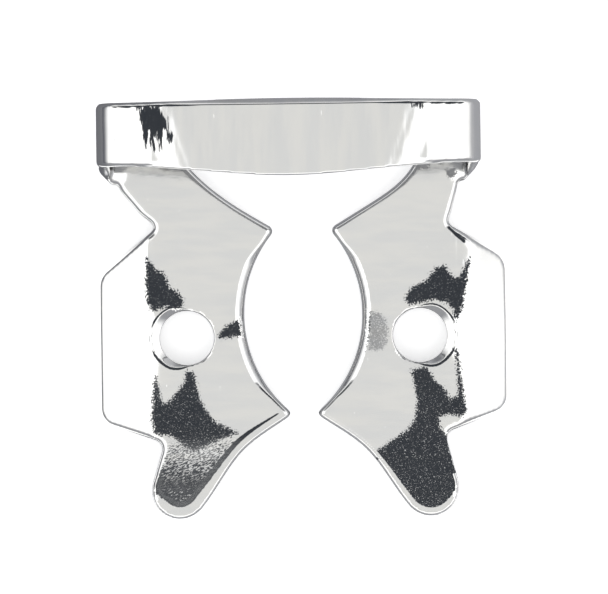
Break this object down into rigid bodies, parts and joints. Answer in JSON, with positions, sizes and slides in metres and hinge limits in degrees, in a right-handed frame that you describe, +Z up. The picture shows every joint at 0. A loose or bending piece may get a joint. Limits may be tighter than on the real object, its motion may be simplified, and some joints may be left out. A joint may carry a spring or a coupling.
{
  "type": "rubber dam clamp",
  "caption": "Winged molar clamp folded from spring steel: a flat bow joins facing jaws with curved mouths, prongs, side wings and forceps holes.",
  "frame": {"origin": "centre of the clamp's box, on the surface that it lies on", "axes": "+Z up from the jaws to the bow, +Y from the tips back to the bow, +X from the left jaw to the right"},
  "size_m": [0.031, 0.0312, 0.0112],
  "materials": {
    "steel": "polished"
  },
  "bodies": {
    "root": {"clamp": "steel"}
  },
  "joints": []
}
